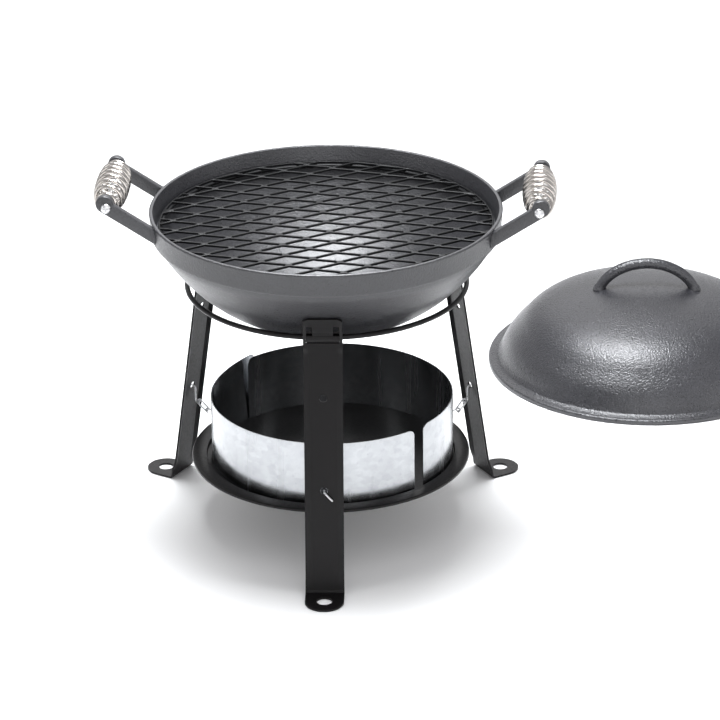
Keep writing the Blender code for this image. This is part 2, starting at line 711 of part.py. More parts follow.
def build():
    clear_scene()
    parts = collection("portable_tabletop_grill")
    helpers = collection("cutters", helper=True)
    iron = material("cast_iron", (0.060, 0.060, 0.064), 0.55, 0.6)
    lid_iron = material("lid_iron", (0.085, 0.085, 0.090), 0.50, 0.6)
    black = material("black_steel", (0.030, 0.029, 0.030), 0.45, 0.3)
    grate_black = material("grate_steel", (0.022, 0.022, 0.023), 0.40, 0.4)
    zinc = material("galvanised_sheet", (0.66, 0.67, 0.69), 0.30, 1.0)
    bolt_zinc = material("bright_fastener", (0.75, 0.75, 0.76), 0.22, 1.0)
    stainless = material("stainless_coil", (0.78, 0.75, 0.72), 0.16, 1.0)
    chain = material("zinc_chain", (0.62, 0.62, 0.63), 0.30, 1.0)
    axis = bpy.data.objects.new("grill_axis", None)
    parts.objects.link(axis)
    axis.location = (GRILL_X, GRILL_Y, 0)
    add_stand(black, chain, parts, helpers, axis)
    add_tray(black, chain, parts, helpers, axis)
    add_guard(zinc, parts, axis)
    bowl = add_bowl(iron, parts, helpers, axis)
    add_handles(bolt_zinc, stainless, parts, helpers, bowl)
    add_grate(grate_black, parts, helpers, bowl)
    add_lid(lid_iron, parts, helpers)
    bpy.context.view_layer.update()


build()
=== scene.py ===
"""Studio scene of the portable tabletop grill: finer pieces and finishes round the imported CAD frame."""

import math

import bmesh
import bpy
from mathutils import Matrix, Vector


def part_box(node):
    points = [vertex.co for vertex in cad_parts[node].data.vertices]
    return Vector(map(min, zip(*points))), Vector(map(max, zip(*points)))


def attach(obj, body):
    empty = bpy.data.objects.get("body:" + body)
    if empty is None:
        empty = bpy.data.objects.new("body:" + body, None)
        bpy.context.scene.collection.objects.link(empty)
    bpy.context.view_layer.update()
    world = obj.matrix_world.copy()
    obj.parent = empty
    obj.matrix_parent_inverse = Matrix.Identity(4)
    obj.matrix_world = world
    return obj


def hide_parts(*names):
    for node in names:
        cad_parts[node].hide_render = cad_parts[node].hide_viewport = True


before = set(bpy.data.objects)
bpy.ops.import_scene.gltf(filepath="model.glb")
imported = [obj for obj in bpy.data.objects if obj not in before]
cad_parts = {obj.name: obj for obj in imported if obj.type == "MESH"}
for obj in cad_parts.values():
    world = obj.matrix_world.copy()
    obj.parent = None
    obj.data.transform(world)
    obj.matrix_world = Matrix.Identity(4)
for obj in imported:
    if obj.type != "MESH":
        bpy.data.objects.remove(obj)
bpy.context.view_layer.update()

ring_low, ring_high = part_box("stand_ring")
lid_low, lid_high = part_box("lid")
GRILL = Vector(((ring_low.x + ring_high.x) / 2, (ring_low.y + ring_high.y) / 2, 0))
LID = Vector(((lid_low.x + lid_high.x) / 2, (lid_low.y + lid_high.y) / 2, 0))

# Bowl
RIM_R = 0.183
RIM_TOP = 0.350
BAND_BOTTOM = 0.3259
BOWL_CENTRE_Z = 0.4228
BOWL_OUTER_R = 0.2035
BOWL_INNER_R = 0.199
BOWL_FOOT_R = 0.045
SEAT_OUTER_R = 0.1765
SEAT_INNER_R = 0.1705
SEAT_Z = 0.3275
BOWL_TURN = -1.7

# Handles
ARM_Y = 0.056
ARM_THICK = 0.008
ARM_SLOPE = math.radians(33.0)
ARM_DEPTH = 0.0134
ARM_EYE_R = 0.0090
ARM_EYE_OFFSET = (0.0018, 0.0036)
ARM_ROOT_X = (0.1712, 0.1685)
ARM_EDGE_R = 0.0011
BOLT_X = 0.2207
BOLT_Z = 0.370
BOLT_R = 0.003
BOLT_TAIL = 0.0067
BOLT_HEAD_R = 0.0052
BOLT_HEAD_H = 0.0034
RECESS_LONG = 0.0060
RECESS_WIDE = 0.0011
RECESS_DEEP = 0.0014
THREADS = 9
THREAD_PITCH = 0.0008
THREAD_DEPTH = 0.0004
NUT_FLATS = 0.010
NUT_H = 0.005
NUT_BORE_R = 0.0033
GRIP_WIRE_R = 0.0022
GRIP_MAX_R = 0.018
GRIP_END_R = 0.0076
GRIP_HALF = 0.0492
GRIP_TURNS = 8

# Grate
MESH_R = 0.1737
MESH_Z = 0.33335
MESH_THICK = 0.0025
STRAND_W = 0.0023
DIAMOND_LONG = 0.0522
DIAMOND_SHORT = 0.0276
DIAMOND_TURN = math.radians(10.7)
DIAMOND_BLUNT = 0.0020
MESH_BEVEL = 0.00085
MESH_WAVE = 0.0007
MESH_FLAT_EDGE = 0.006
EDGE_STRIP = 0.0018
SMALLEST_OPENING = 1.0e-5
FRAME_R = 0.1715
FRAME_WIRE_R = 0.0020
FRAME_Z = 0.3298

# Stand
RING_R = 0.1457
RING_WIRE_R = 0.00275
RING_Z = 0.267
LEG_AZIMUTHS = {"front": -90.0, "right": 30.0, "left": 150.0}
LEG_SHEET = 0.002
LEG_HALF = 0.020
LEG_TILT = 0.1577
LEG_MID_X = 0.0033
FLANGE_START = 0.0135
FLANGE_BEND = math.radians(22.0)
WINDOW_HALF = 0.0168
NECK_HALF = 0.0105
KNUCKLE_HALF = 0.0167
KNUCKLE_R = 0.0050
KNUCKLE_TURN = (38, -250)
NECK_ROWS = ((0.0046, 0.0100), (0.0036, 0.0068))
FOOT_TIP_X = 0.0860
FOOT_HOLE_R = 0.008
LEG_HOLE_R = 0.004
LEG_HOLES_Z = (0.109, 0.2055)
LEG_CROWN = (0.0118, 0.0251)
LEG_CROWN_HALF = 0.0150
LEG_HEM = (0.0073, 0.0150)
LEG_COLLAR = 0.003
LEG_BEND_R = 0.0035
LEG_EDGE_R = 0.00028
EAR_LINE = 0.0184
WINDOW_LINE = 0.0152

# Tray, chains and guard
TRAY_X = 0.0015
TRAY_R = 0.1472
TRAY_RIM_Z = 0.0735
TRAY_FLOOR_Z = 0.0685
TRAY_SHEET = 0.0015
RECESS_R = 0.1315
TRAY_LIP_DROP = 0.003
TRAY_LIP_CURL = 0.0016
TRAY_HOLE_R = 0.141
TRAY_HOLE_SIZE_R = 0.003
CHAIN_WIRE_R = 0.0010
CHAIN_LOOP_R = 0.0028
LEG_LOOP = (0.1672 - RING_R, 0.0925 - RING_Z)
TRAY_LOOP = (0.1556, 0.0822)
LINK_LENGTH = 0.0155
LINK_HALF_W = 0.0035
GUARD_X = 0.0040
GUARD_R = 0.1286
GUARD_SHEET = 0.0008
GUARD_GAP = 0.0004
GUARD_BOTTOM = 0.0688
GUARD_TOP = 0.1401
GUARD_CORNER = 0.007
GUARD_EDGE_R = 0.0002
FRONT_FLARE = 0.0060
FLARE_SPAN = 30
GUARD_ARCS = {"wind_guard_front": (-229.2, -47.2), "wind_guard_rear": (-40.8, 137.5)}

# Lid
LID_R = 0.183
LID_WALL = 0.0045
BRIM_INNER = (0.172, 0.0074)
DOME = ((0.0, 0.0940), (0.030, 0.0926), (0.060, 0.0883), (0.090, 0.0806), (0.117, 0.0705),
        (0.135, 0.0585), (0.149, 0.0435), (0.159, 0.0315), (0.165, 0.0215), (0.1688, 0.0130))
HANDLE_HALF_SPAN = 0.0552
HANDLE_TOP_Z = 0.1275
HANDLE_BAR_R = 0.0062
HANDLE_FOOT_Z = 0.0870
HANDLE_ARCH = 1.25
HANDLE_FLARE = 0.30
HANDLE_FLARE_Z = 0.0890
HANDLE_FLARE_H = 0.0030

# Studio
FLOOR_HALF = 9
FLOOR_DROP = 0.0004
WORLD_STOPS = ((0.0, 0.75), (0.5, 0.90), (0.62, 0.55), (1.0, 0.66))
WORLD_STRENGTH = 0.92
CAMERA_AT = (0.1261, -3.5996, 1.7878)
CAMERA_DOWN = 24.11
CAMERA_LENS = 187.25
CAMERA_SHIFT = -0.1222


# ---------------------------------------------------------------- shader building

class Shader:
    """A small wrapper that adds nodes to one material and links them."""

    def __init__(self, name):
        self.material = bpy.data.materials.new(name)
        self.material.use_nodes = True
        self.tree = self.material.node_tree
        self.surface = self.tree.nodes["Principled BSDF"]
        self.where = self.add("ShaderNodeTexCoord").outputs["Object"]

    def add(self, kind, **values):
        node = self.tree.nodes.new(kind)
        for key, value in values.items():
            setattr(node, key, value)
        return node

    def link(self, source, target):
        self.tree.links.new(source, target)

    def noise(self, scale, detail, roughness=0.55, stretch=None):
        node = self.add("ShaderNodeTexNoise")
        node.inputs["Scale"].default_value = scale
        node.inputs["Detail"].default_value = detail
        node.inputs["Roughness"].default_value = roughness
        self.link(self.stretched(stretch), node.inputs["Vector"])
        return node.outputs["Fac"]

    def cells(self, scale, output="Distance", stretch=None):
        node = self.add("ShaderNodeTexVoronoi")
        node.inputs["Scale"].default_value = scale
        self.link(self.stretched(stretch), node.inputs["Vector"])
        return node.outputs[output]

    def stretched(self, stretch):
        if not stretch:
            return self.where
        node = self.add("ShaderNodeMapping")
        node.inputs["Scale"].default_value = stretch
        self.link(self.where, node.inputs["Vector"])
        return node.outputs["Vector"]

    def ramp(self, value, stops):
        node = self.add("ShaderNodeValToRGB")
        ramp = node.color_ramp
        while len(ramp.elements) < len(stops):
            ramp.elements.new(0.5)
        for element, (place, colour) in zip(ramp.elements, stops):
            element.position = place
            element.color = (*colour, 1)
        self.link(value, node.inputs["Fac"])
        return node.outputs["Color"]

    def grey_ramp(self, value, low, high, start=0.3, end=0.7):
        """Maps a value to grey, so that it can drive a roughness or multiply a colour."""
        return self.ramp(value, ((start, (low,) * 3), (end, (high,) * 3)))

    def mix(self, share, first, second, blend="MIX"):
        """Blends two colours; share is a number or the output of a node."""
        node = self.add("ShaderNodeMix", data_type="RGBA", blend_type=blend)
        if isinstance(share, float):
            node.inputs[0].default_value = share
        else:
            self.link(share, node.inputs[0])
        self.link(first, node.inputs[6])
        self.link(second, node.inputs[7])
        return node.outputs[2]

    def maths(self, operation, first, second):
        node = self.add("ShaderNodeMath", operation=operation)
        for k, value in enumerate((first, second)):
            if isinstance(value, (int, float)):
                node.inputs[k].default_value = value
            else:
                self.link(value, node.inputs[k])
        return node.outputs[0]

    def bump(self, *layers):
        """Stacks (height, distance, strength) layers into one normal."""
        normal = None
        for height, distance, strength in layers:
            node = self.add("ShaderNodeBump")
            node.inputs["Distance"].default_value = distance
            node.inputs["Strength"].default_value = strength
            self.link(height, node.inputs["Height"])
            if normal:
                self.link(normal, node.inputs["Normal"])
            normal = node.outputs["Normal"]
        self.link(normal, self.surface.inputs["Normal"])

    def plain(self, **values):
        for key, value in values.items():
            self.surface.inputs[key.replace("_", " ")].default_value = value

    def drive(self, socket, source):
        self.link(source, self.surface.inputs[socket])


def cast_iron(name, dark, light, grain, grain_height, roughness):
    """Oiled sand casting: fine pebble grain, broad uneven tone, small glinting crests."""
    shader = Shader(name)
    broad = shader.noise(9, 4)
    fine = shader.noise(grain, 2, 0.6)
    pits = shader.cells(grain * 0.8)
    tone = shader.ramp(broad, ((0.3, dark), (0.7, light)))
    speck = shader.grey_ramp(fine, 0.84, 1.25, 0.35, 0.68)
    shader.drive("Base Color", shader.mix(1.0, tone, speck, "MULTIPLY"))
    shader.drive("Roughness", shader.grey_ramp(fine, roughness - 0.08, roughness + 0.10))
    shader.plain(Metallic=0.25, Specular_IOR_Level=1.0)
    shader.bump((broad, 0.0010, 0.35), (pits, grain_height, 0.5), (fine, grain_height, 0.8))
    return shader.material


def black_steel(name, colour, worn, roughness, shine):
    """Thin black lacquer over sheet or wire, with dust, fine scratches and paler rubbed spots."""
    shader = Shader(name)
    broad = shader.noise(14, 5)
    fine = shader.noise(420, 3)
    scratch = shader.noise(60, 4, 0.7, (1, 1, 14))
    base = shader.ramp(broad, ((0.25, colour), (0.75, tuple(c * 1.5 for c in colour))))
    rub = shader.grey_ramp(scratch, 0.0, 1.0, 0.66, 0.78)
    paler = shader.ramp(fine, ((0.2, worn), (0.8, tuple(c * 1.3 for c in worn))))
    share = shader.maths("MULTIPLY", rub, 0.35)
    shader.drive("Base Color", shader.mix(share, base, paler))
    shader.drive("Roughness", shader.grey_ramp(fine, roughness - 0.06, roughness + 0.10))
    shader.plain(Metallic=0.1, Specular_IOR_Level=shine)
    shader.bump((broad, 0.0006, 0.25), (fine, 0.00006, 0.7))
    return shader.material


def galvanised():
    """Zinc coat with flat crystals of slightly different grey, small dark specks and upright streaks."""
    shader = Shader("galvanised_look")
    spangle = shader.cells(140, output="Color", stretch=(1, 1, 1.3))
    cloud = shader.noise(26, 4)
    fine = shader.noise(600, 2)
    facet = shader.ramp(spangle, ((0.1, (0.385, 0.395, 0.41)), (0.9, (0.45, 0.46, 0.475))))
    haze = shader.grey_ramp(cloud, 0.92, 1.04)
    speck = shader.grey_ramp(fine, 0.45, 1.0, 0.24, 0.32)
    toned = shader.mix(1.0, facet, haze, "MULTIPLY")
    shader.drive("Base Color", shader.mix(1.0, toned, speck, "MULTIPLY"))
    streak = shader.noise(70, 3, 0.6, (1, 1, 0.06))
    shader.drive("Roughness", shader.grey_ramp(streak, 0.17, 0.30, 0.3, 0.7))
    shader.plain(Metallic=1.0)
    shader.bump((cloud, 0.0006, 0.20), (streak, 0.0002, 0.15), (fine, 0.00002, 0.3))
    return shader.material


def bright_metal(name, dark, light, roughness, line_stretch):
    """Drawn or plated wire: fine lines along it and a soft change of tone."""
    shader = Shader(name)
    lines = shader.noise(240, 3, 0.6, line_stretch)
    cloud = shader.noise(45, 3)
    tone = shader.ramp(cloud, ((0.3, dark), (0.7, light)))
    streak = shader.grey_ramp(lines, 0.88, 1.05)
    shader.drive("Base Color", shader.mix(1.0, tone, streak, "MULTIPLY"))
    shader.drive("Roughness", shader.grey_ramp(lines, roughness, roughness + 0.10))
    shader.plain(Metallic=1.0)
    shader.bump((lines, 0.00003, 0.6), (cloud, 0.0003, 0.2))
    return shader.material


def floor_material():
    """Matt pale paper with a hardly visible change of tone."""
    shader = Shader("pale_floor")
    cloud = shader.noise(1.2, 3)
    shader.drive("Base Color", shader.grey_ramp(cloud, 0.90, 0.92))
    shader.drive("Roughness", shader.grey_ramp(cloud, 0.70, 0.78))
    shader.plain(Specular_IOR_Level=0.1)
    return shader.material


IRON = cast_iron("bowl_iron_look", (0.022, 0.022, 0.025), (0.033, 0.033, 0.0375), 640, 0.00040, 0.34)
LID_IRON = cast_iron("lid_iron_look", (0.020, 0.020, 0.0235), (0.030, 0.030, 0.0355), 560, 0.00060, 0.32)
BLACK = black_steel("black_steel_look", (0.0040, 0.0035, 0.0038), (0.014, 0.013, 0.013), 0.37, 0.24)
GRATE = black_steel("grate_steel_look", (0.005, 0.005, 0.0055), (0.024, 0.024, 0.026), 0.40, 0.20)
ZINC = galvanised()
COIL = bright_metal("coil_look", (0.46, 0.43, 0.40), (0.66, 0.63, 0.60), 0.08, (1, 8, 1))
BOLT = bright_metal("bolt_look", (0.66, 0.66, 0.68), (0.84, 0.84, 0.85), 0.22, (1, 1, 1))
CHAIN = bright_metal("chain_look", (0.55, 0.55, 0.57), (0.74, 0.74, 0.75), 0.26, (1, 1, 1))


# ---------------------------------------------------------------- mesh building

def mesh_from(name, points, faces):
    """Builds a mesh whose faces all look outwards."""
    mesh = bpy.data.meshes.new(name)
    mesh.from_pydata([tuple(point) for point in points], [], faces)
    shell = bmesh.new()
    shell.from_mesh(mesh)
    bmesh.ops.recalc_face_normals(shell, faces=shell.faces)
    shell.to_mesh(mesh)
    shell.free()
    return mesh


def stand(name, mesh, at=(0, 0, 0), turn=0.0):
    """Puts a mesh in the scene, turned about Z by degrees."""
    obj = bpy.data.objects.new(name, mesh)
    bpy.context.scene.collection.objects.link(obj)
    obj.location = at
    obj.rotation_euler = (0, 0, math.radians(turn))
    return obj


def dress(obj, body, node, finish, crease):
    """Gives the piece its material and says which body it rides on; hides the CAD node it stands for."""
    obj.data.materials.clear()
    obj.data.materials.append(finish)
    obj.data.shade_smooth()
    obj.data.set_sharp_from_angle(angle=math.radians(crease))
    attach(obj, body)
    if node:
        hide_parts(node)
    return obj


def soften(obj, width, segments, angle):
    """Rounds the edges that are sharper than the angle."""
    edge = obj.modifiers.new("soft_edges", "BEVEL")
    edge.width = width
    edge.segments = segments
    edge.limit_method = "ANGLE"
    edge.angle_limit = math.radians(angle)
    edge.harden_normals = False


def subtract(obj, cutters, operation="DIFFERENCE"):
    for cutter in cutters:
        step = obj.modifiers.new("cut", "BOOLEAN")
        step.object = cutter
        step.operation = operation
        step.solver = "EXACT"


def apply_all(obj, *spent):
    """Replaces the object's mesh with its evaluated one and removes the spent helpers."""
    bpy.context.view_layer.update()
    graph = bpy.context.evaluated_depsgraph_get()
    mesh = bpy.data.meshes.new_from_object(obj.evaluated_get(graph))
    obj.modifiers.clear()
    obj.data = mesh
    for helper in spent:
        bpy.data.objects.remove(helper, do_unlink=True)
    return obj


def lathe(name, profile, steps):
    """Revolves (radius, height) points about Z; the profile begins and ends on the axis."""
    points = []
    rings = []
    for radius, height in profile:
        if radius < 1e-9:
            rings.append([len(points)])
            points.append((0.0, 0.0, height))
            continue
        rings.append(list(range(len(points), len(points) + steps)))
        for k in range(steps):
            angle = 2 * math.pi * k / steps
            points.append((radius * math.cos(angle), radius * math.sin(angle), height))
    faces = []
    for low, high in zip(rings, rings[1:]):
        for k in range(steps):
            n = (k + 1) % steps
            if len(low) == 1:
                faces.append((low[0], high[n], high[k]))
            elif len(high) == 1:
                faces.append((low[k], low[n], high[0]))
            else:
                faces.append((low[k], low[n], high[n], high[k]))
    return mesh_from(name, points, faces)


def tube(name, path, radius, sides, closed=False):
    """A round bar along a path; radius is one number or one per point."""
    path = [Vector(point) for point in path]
    count = len(path)
    radii = radius if isinstance(radius, (list, tuple)) else [radius] * count
    tangents = []
    for k in range(count):
        after = path[(k + 1) % count] if closed or k < count - 1 else path[k]
        before = path[k - 1] if closed or k else path[k]
        tangents.append((after - before).normalized())
    across = tangents[0].orthogonal().normalized()
    points = []
    for k in range(count):
        if k:
            across.rotate(tangents[k - 1].rotation_difference(tangents[k]))
        other = tangents[k].cross(across)
        for s in range(sides):
            angle = 2 * math.pi * s / sides
            points.append(path[k] + radii[k] * (math.cos(angle) * across + math.sin(angle) * other))
    faces = []
    for k in range(count if closed else count - 1):
        near = k * sides
        far = (k + 1) % count * sides
        for s in range(sides):
            n = (s + 1) % sides
            faces.append((near + s, near + n, far + n, far + s))
    if not closed:
        faces.append(tuple(range(sides)))
        faces.append(tuple(range((count - 1) * sides, count * sides)))
    return mesh_from(name, points, faces)


def rounded_ends(path, radius):
    """Adds points and radii that dome both ends of a bar."""
    steps = 3
    path = [Vector(point) for point in path]
    first = (path[0] - path[1]).normalized()
    last = (path[-1] - path[-2]).normalized()
    head = []
    tail = []
    for k in range(steps):
        angle = math.pi / 2 * (k + 1) / (steps + 0.5)
        head.append((path[0] + first * radius * math.sin(angle), radius * math.cos(angle)))
        tail.append((path[-1] + last * radius * math.sin(angle), radius * math.cos(angle)))
    both = list(reversed(head)) + [(point, radius) for point in path] + tail
    return [p for p, r in both], [r for p, r in both]


def curve_through(points, per=6):
    """A smooth path through the points, as cubic Hermite spans of a few steps each."""
    points = [Vector(point) for point in points]
    count = len(points)
    found = []
    for k in range(count - 1):
        b = points[k]
        c = points[k + 1]
        a = points[k - 1] if k else b + (b - c)
        d = points[k + 2] if k < count - 2 else c + (c - b)
        span = (c - b).length
        m1 = (c - a).normalized() * span
        m2 = (d - b).normalized() * span
        for s in range(per):
            t = s / per
            found.append((2 * t**3 - 3 * t**2 + 1) * b + (t**3 - 2 * t**2 + t) * m1
                         + (-2 * t**3 + 3 * t**2) * c + (t**3 - t**2) * m2)
    found.append(points[-1])
    return found


def arc(centre, radius, start, end, count):
    """Points on a circle, from one angle to another in degrees."""
    found = []
    for k in range(count):
        angle = math.radians(start + (end - start) * k / (count - 1))
        found.append((centre[0] + radius * math.cos(angle), centre[1] + radius * math.sin(angle)))
    return found


def circle_path(radius, height, steps):
    """A closed level circle round Z."""
    turns = [2 * math.pi * k / steps for k in range(steps)]
    return [(radius * math.cos(a), radius * math.sin(a), height) for a in turns]


def rod(name, radius, start, end, sides=48):
    """A straight round cutter."""
    return stand(name, tube(name, (start, end), radius, sides))


def prism(name, outline, low, high):
    """Extrudes an (x, z) outline along Y."""
    count = len(outline)
    points = [(x, low, z) for x, z in outline] + [(x, high, z) for x, z in outline]
    faces = [tuple(range(count)), tuple(range(count, 2 * count))]
    for k in range(count):
        n = (k + 1) % count
        faces.append((k, n, count + n, count + k))
    return mesh_from(name, points, faces)


def spread(start, end, count):
    return [start + (end - start) * k / (count - 1) for k in range(count)]


# ---------------------------------------------------------------- bowl and handles

def sphere_z(radius, r):
    """Height of the bowl's sphere of the given radius, at the distance r from the axis."""
    return BOWL_CENTRE_Z - math.sqrt(radius * radius - r * r)


def make_bowl():
    """The dish: flat foot, spherical wall, straight band under the lip and a seat for the grate."""
    foot_z = sphere_z(BOWL_OUTER_R, BOWL_FOOT_R)
    floor_z = sphere_z(BOWL_INNER_R, BOWL_FOOT_R)
    outside = [(0, foot_z), (BOWL_FOOT_R - 0.004, foot_z), (BOWL_FOOT_R - 0.001, foot_z + 0.0002)]
    outside += [(r, sphere_z(BOWL_OUTER_R, r)) for r in spread(BOWL_FOOT_R + 0.002, 0.1766, 34)]
    band = [(0.1772, 0.3252), (0.1776, BAND_BOTTOM), (0.1804, BAND_BOTTOM), (0.1811, 0.3263),
            (0.1814, 0.3272), (0.1815, 0.3285), (RIM_R - 0.0002, RIM_TOP - 0.0024),
            (RIM_R, RIM_TOP - 0.0014), (RIM_R - 0.0004, RIM_TOP - 0.0005), (RIM_R - 0.0012, RIM_TOP)]
    lip = [(RIM_R - 0.0029, RIM_TOP), (RIM_R - 0.0037, RIM_TOP - 0.0004),
           (RIM_R - 0.0040, RIM_TOP - 0.0012), (SEAT_OUTER_R + 0.0004, SEAT_Z + 0.0022),
           (SEAT_OUTER_R, SEAT_Z + 0.0006), (SEAT_OUTER_R - 0.0006, SEAT_Z),
           (SEAT_INNER_R + 0.0006, SEAT_Z), (SEAT_INNER_R, SEAT_Z - 0.0006),
           (SEAT_INNER_R - 0.0002, SEAT_Z - 0.0040)]
    inside = [(r, sphere_z(BOWL_INNER_R, r)) for r in spread(0.1698, BOWL_FOOT_R + 0.004, 32)]
    inside += [(BOWL_FOOT_R - 0.003, floor_z), (0, floor_z)]
    dish = stand("bowl_dish", lathe("bowl_dish", outside + band + lip + inside, 192), GRILL, BOWL_TURN)
    dress(dish, "bowl", "bowl", IRON, 40)


def arm_outline(side):
    """Side view of a handle arm: a round eye and two parallel edges running down into the rim."""
    along = (math.cos(ARM_SLOPE), math.sin(ARM_SLOPE))
    eye = (BOLT_X + ARM_EYE_OFFSET[0], BOLT_Z + ARM_EYE_OFFSET[1])
    slope = math.degrees(ARM_SLOPE)
    shoulder = 180 - math.degrees(math.asin((ARM_DEPTH - ARM_EYE_R) / ARM_EYE_R))
    outline = arc(eye, ARM_EYE_R, slope - 90, slope + shoulder, 36)
    lower = outline[0]
    upper = outline[-1]
    line = []
    for corner, x in zip((upper, lower), ARM_ROOT_X):
        line.append((x, corner[1] - (corner[0] - x) * along[1] / along[0]))
    return [(side * x, z) for x, z in outline + line]


def make_arms():
    for side, label in ((1, "right"), (-1, "left")):
        for y, end in ((-ARM_Y, "front"), (ARM_Y, "rear")):
            name = f"handle_arm_{label}_{end}"
            bar = prism(name, arm_outline(side), y - ARM_THICK / 2, y + ARM_THICK / 2)
            arm = stand(name, bar, GRILL, BOWL_TURN)
            soften(arm, ARM_EDGE_R, 3, 30)
            apply_all(arm)
            dress(arm, "bowl", None, IRON, 50)


def cross_recess(outer_y):
    """Two crossed wedges that cut the driver recess of a screw head facing -Y."""
    cutters = []
    for width, height in ((RECESS_LONG, RECESS_WIDE), (RECESS_WIDE, RECESS_LONG)):
        slot = prism("slot", [(-width / 2, -height / 2), (width / 2, -height / 2),
                              (width / 2, height / 2), (-width / 2, height / 2)],
                     outer_y - 0.002, outer_y + RECESS_DEEP)
        cutters.append(stand("slot", slot))
    return cutters


def bolt_place(side):
    """Middle of a grip's bolt, which turns with the bowl."""
    turn = math.radians(BOWL_TURN)
    return GRILL + Vector((side * BOLT_X * math.cos(turn), side * BOLT_X * math.sin(turn), BOLT_Z))


def make_bolts():
    """Both cross-recess bolts with their nuts; reach is half the length between the arms' outer faces."""
    reach = ARM_Y + ARM_THICK / 2 + 0.0003
    head = [(head_x, reach + head_y) for head_x, head_y in
            ((BOLT_HEAD_R - 0.0004, 0), (BOLT_HEAD_R, 0.0004), (BOLT_HEAD_R, 0.0012),
             (BOLT_HEAD_R * 0.95, 0.0019), (BOLT_HEAD_R * 0.82, 0.0026), (BOLT_HEAD_R * 0.62, 0.0031),
             (BOLT_HEAD_R * 0.36, BOLT_HEAD_H), (0, BOLT_HEAD_H))]
    tail = -reach - BOLT_TAIL
    profile = [(0, tail), (BOLT_R - 0.0006, tail), (BOLT_R, tail + 0.0006)]
    for k in range(THREADS):
        top = tail + 0.0009 + THREAD_PITCH * k
        profile += [(BOLT_R, top), (BOLT_R - THREAD_DEPTH, top + THREAD_PITCH / 2)]
    profile += [(BOLT_R, -reach + 0.0022), (BOLT_R, reach)] + head
    for side, label in ((-1, "left"), (1, "right")):
        mesh = lathe("bolt", profile, 48)
        mesh.transform(Matrix.Rotation(math.pi / 2, 4, "X"))
        bolt = stand(f"handle_bolt_{label}_fine", mesh)
        cutters = cross_recess(-reach - BOLT_HEAD_H)
        subtract(bolt, cutters)
        apply_all(bolt, *cutters)
        bolt.location = bolt_place(side)
        bolt.rotation_euler.z = math.radians(BOWL_TURN)
        dress(bolt, "bowl", f"handle_bolt_{label}", BOLT, 30)
        make_nut(side, label, reach)


def make_nut(side, label, reach):
    """A hexagon nut whose corners are chamfered on both faces."""
    corner = NUT_FLATS / math.sqrt(3)
    outline = arc((0, 0), corner, 0, 300, 6)
    nut = stand(f"handle_nut_{label}_fine", prism("nut", outline, reach, reach + NUT_H))
    bore = rod("bore", NUT_BORE_R, (0, reach - 0.01, 0), (0, reach + 0.02, 0))
    inner = reach - 0.0001
    outer = reach + NUT_H + 0.0001
    rim = [(0, inner), (corner * 0.93, inner), (corner * 1.04, reach + 0.0010),
           (corner * 1.04, reach + NUT_H - 0.0010), (corner * 0.93, outer), (0, outer)]
    mesh = lathe("chamfer", rim, 64)
    mesh.transform(Matrix.Rotation(-math.pi / 2, 4, "X"))
    chamfer = stand("chamfer", mesh)
    subtract(nut, [chamfer], "INTERSECT")
    subtract(nut, [bore])
    apply_all(nut, bore, chamfer)
    nut.location = bolt_place(side)
    nut.rotation_euler.z = math.radians(BOWL_TURN)
    dress(nut, "bowl", f"handle_nut_{label}", BOLT, 25)


def make_grips():
    """Barrel-shaped coils of wire, widest in the middle."""
    per_turn = 44
    fullness = 2.4
    roundness = 0.62
    count = GRIP_TURNS * per_turn
    path = []
    for k in range(count + 1):
        t = 2 * k / count - 1
        bulge = (1 - abs(t) ** fullness) ** roundness
        radius = GRIP_END_R + (GRIP_MAX_R - GRIP_WIRE_R - GRIP_END_R) * bulge
        angle = 2 * math.pi * k / per_turn
        path.append((radius * math.cos(angle), GRIP_HALF * t, radius * math.sin(angle)))
    path, radii = rounded_ends(path, GRIP_WIRE_R)
    for side, label in ((-1, "left"), (1, "right")):
        name = f"grip_{label}_fine"
        grip = stand(name, tube(name, path, radii, 14), bolt_place(side), BOWL_TURN)
        dress(grip, f"grip_{label}", f"grip_{label}", COIL, 60)


# ---------------------------------------------------------------- grate

def clipped(polygon, radius):
    """Cuts a convex polygon back to a disc."""
    sides = 180
    for k in range(sides):
        angle = 2 * math.pi * (k + 0.5) / sides
        normal = (math.cos(angle), math.sin(angle))
        kept = []
        for (ax, ay), (bx, by) in zip(polygon, polygon[1:] + polygon[:1]):
            da = ax * normal[0] + ay * normal[1] - radius
            db = bx * normal[0] + by * normal[1] - radius
            if da <= 0:
                kept.append((ax, ay))
            if da * db < 0:
                share = da / (da - db)
                kept.append((ax + share * (bx - ax), ay + share * (by - ay)))
        polygon = kept
        if len(polygon) < 3:
            return []
    return polygon


def polygon_area(polygon):
    total = 0.0
    for (ax, ay), (bx, by) in zip(polygon, polygon[1:] + polygon[:1]):
        total += ax * by - bx * ay
    return abs(total) / 2


def diamond(x, y, long_half, short_half):
    """A diamond opening with a blunt, slightly rounded outline."""
    corners = [(x + long_half, y), (x, y + short_half), (x - long_half, y), (x, y - short_half)]
    outline = []
    for k in range(4):
        before = Vector(corners[k - 1])
        here = Vector(corners[k])
        after = Vector(corners[(k + 1) % 4])
        start = here + (before - here).normalized() * DIAMOND_BLUNT
        end = here + (after - here).normalized() * DIAMOND_BLUNT
        for s in range(4):
            t = s / 3
            point = (1 - t) ** 2 * start + 2 * t * (1 - t) * here + t * t * end
            outline.append((point.x, point.y))
    return outline


